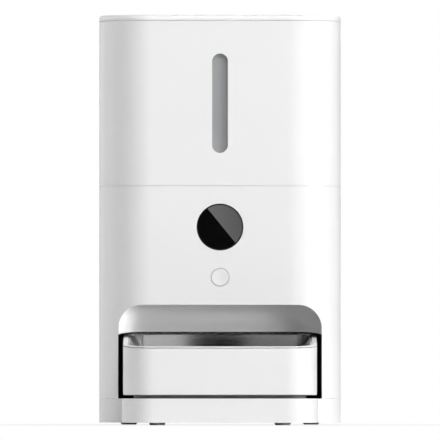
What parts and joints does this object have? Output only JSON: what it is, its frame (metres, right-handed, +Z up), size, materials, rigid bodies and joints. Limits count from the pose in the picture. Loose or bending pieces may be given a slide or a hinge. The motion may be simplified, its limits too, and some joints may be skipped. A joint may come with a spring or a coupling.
{
  "type": "automatic pet feeder",
  "caption": "Upright pet feeder: lift-off food tank with a level window over a motor-driven paddle wheel, and a slide-out tray with a steel bowl in an arched bay.",
  "frame": {"origin": "middle of the footprint, on the surface that the feeder stands on", "axes": "+Z up, -Y the front where the bowl is, +X to the right seen from the front"},
  "size_m": [0.186, 0.3, 0.3154],
  "materials": {
    "shell_white": "satin moulded",
    "hood_white": "smooth satin moulded",
    "tray_white": "satin moulded",
    "button_white": "fine satin",
    "plate_grey": "fine grained",
    "foot_rubber": "matte",
    "screw_steel": "zinc plated",
    "liner_dark": "fine grained",
    "pedestal_grey": "fine grained",
    "mech_grey": "plain moulded",
    "bush_brass": "sintered",
    "chute_dark": "smooth",
    "board_green": "lacquered board",
    "motor_steel": "drawn can",
    "bezel_black": "gloss",
    "window_black": "polished",
    "camera_black": "matte",
    "inlet_black": "matte",
    "contact_metal": "nickel plated",
    "hub_white": "smooth",
    "paddle_silicone": "soft matte",
    "gear_ivory": "acetal",
    "pinion_brass": "machined",
    "bowl_steel": "fine brushed",
    "window_tinted": "polished and tinted",
    "funnel_grey": "smooth",
    "frame_grey": "plain moulded",
    "seal_silicone": "soft matte",
    "cup_white": "smooth",
    "pack_cloth": "non-woven"
  },
  "bodies": {
    "feeder": {"base_shell": "shell_white", "base_plate": "plate_grey", "rubber_feet": "foot_rubber", "base_screws": "screw_steel", "main_housing": "shell_white", "bay_hood": "hood_white", "bay_liner": "liner_dark", "bowl_pedestal": "pedestal_grey", "tank_deck": "plate_grey", "dispenser_barrel": "mech_grey", "shaft_bushes": "bush_brass", "food_chute": "chute_dark", "chute_sensors": "board_green", "gear_case": "mech_grey", "feed_motor": "motor_steel", "control_board": "board_green", "window_bezel": "bezel_black", "front_window": "window_black", "camera_module": "camera_black", "button_board": "board_green", "power_inlet": "inlet_black", "battery_box": "mech_grey", "battery_contacts": "contact_metal"},
    "button": {"feed_button": "button_white"},
    "wheel": {"paddle_hub": "hub_white", "wheel_paddles": "paddle_silicone", "drive_gear": "gear_ivory"},
    "pinion": {"motor_pinion": "pinion_brass"},
    "tray": {"bowl_tray": "tray_white", "tray_rim": "tray_white", "steel_bowl": "bowl_steel"},
    "tank": {"tank_shell": "shell_white", "tank_window": "window_tinted", "tank_funnel": "funnel_grey"},
    "lid": {"lid_panel": "shell_white", "lid_frame": "frame_grey", "lid_seal": "seal_silicone"},
    "cup": {"desiccant_cup": "cup_white", "desiccant_pack": "pack_cloth"},
    "door": {"battery_door": "shell_white"}
  },
  "joints": [
    {"name": "feed_button_press", "type": "slide", "parent": "feeder", "child": "button", "axis": [0, 1, 0], "range_m": [0, 0.0012], "stiffness_N_per_m": 400, "springref_m": -0.002},
    {"name": "wheel_spin", "type": "hinge", "parent": "feeder", "child": "wheel", "pos_m": [0, 0.014, 0.144], "axis": [1, 0, 0], "continuous": true},
    {"name": "pinion_spin", "type": "hinge", "parent": "feeder", "child": "pinion", "pos_m": [0.036, 0.044, 0.144], "axis": [1, 0, 0], "continuous": true},
    {"name": "tray_slide", "type": "slide", "parent": "feeder", "child": "tray", "axis": [0, -1, 0], "range_m": [0, 0.16]},
    {"name": "tank_lift", "type": "slide", "parent": "feeder", "child": "tank", "axis": [0, 0, 1], "range_m": [0, 0.06]},
    {"name": "lid_lift", "type": "slide", "parent": "tank", "child": "lid", "axis": [0, 0, 1], "range_m": [0, 0.06]},
    {"name": "desiccant_cup_twist", "type": "hinge", "parent": "lid", "child": "cup", "pos_m": [0, 0.039, 0.306], "axis": [0, 0, 1], "range_deg": [0, 30]},
    {"name": "battery_door_pull", "type": "slide", "parent": "feeder", "child": "door", "axis": [0, 1, 0], "range_m": [0, 0.03]}
  ],
  "couplings": [
    {"joint": "pinion_spin", "follows": "wheel_spin", "ratio": -2}
  ]
}
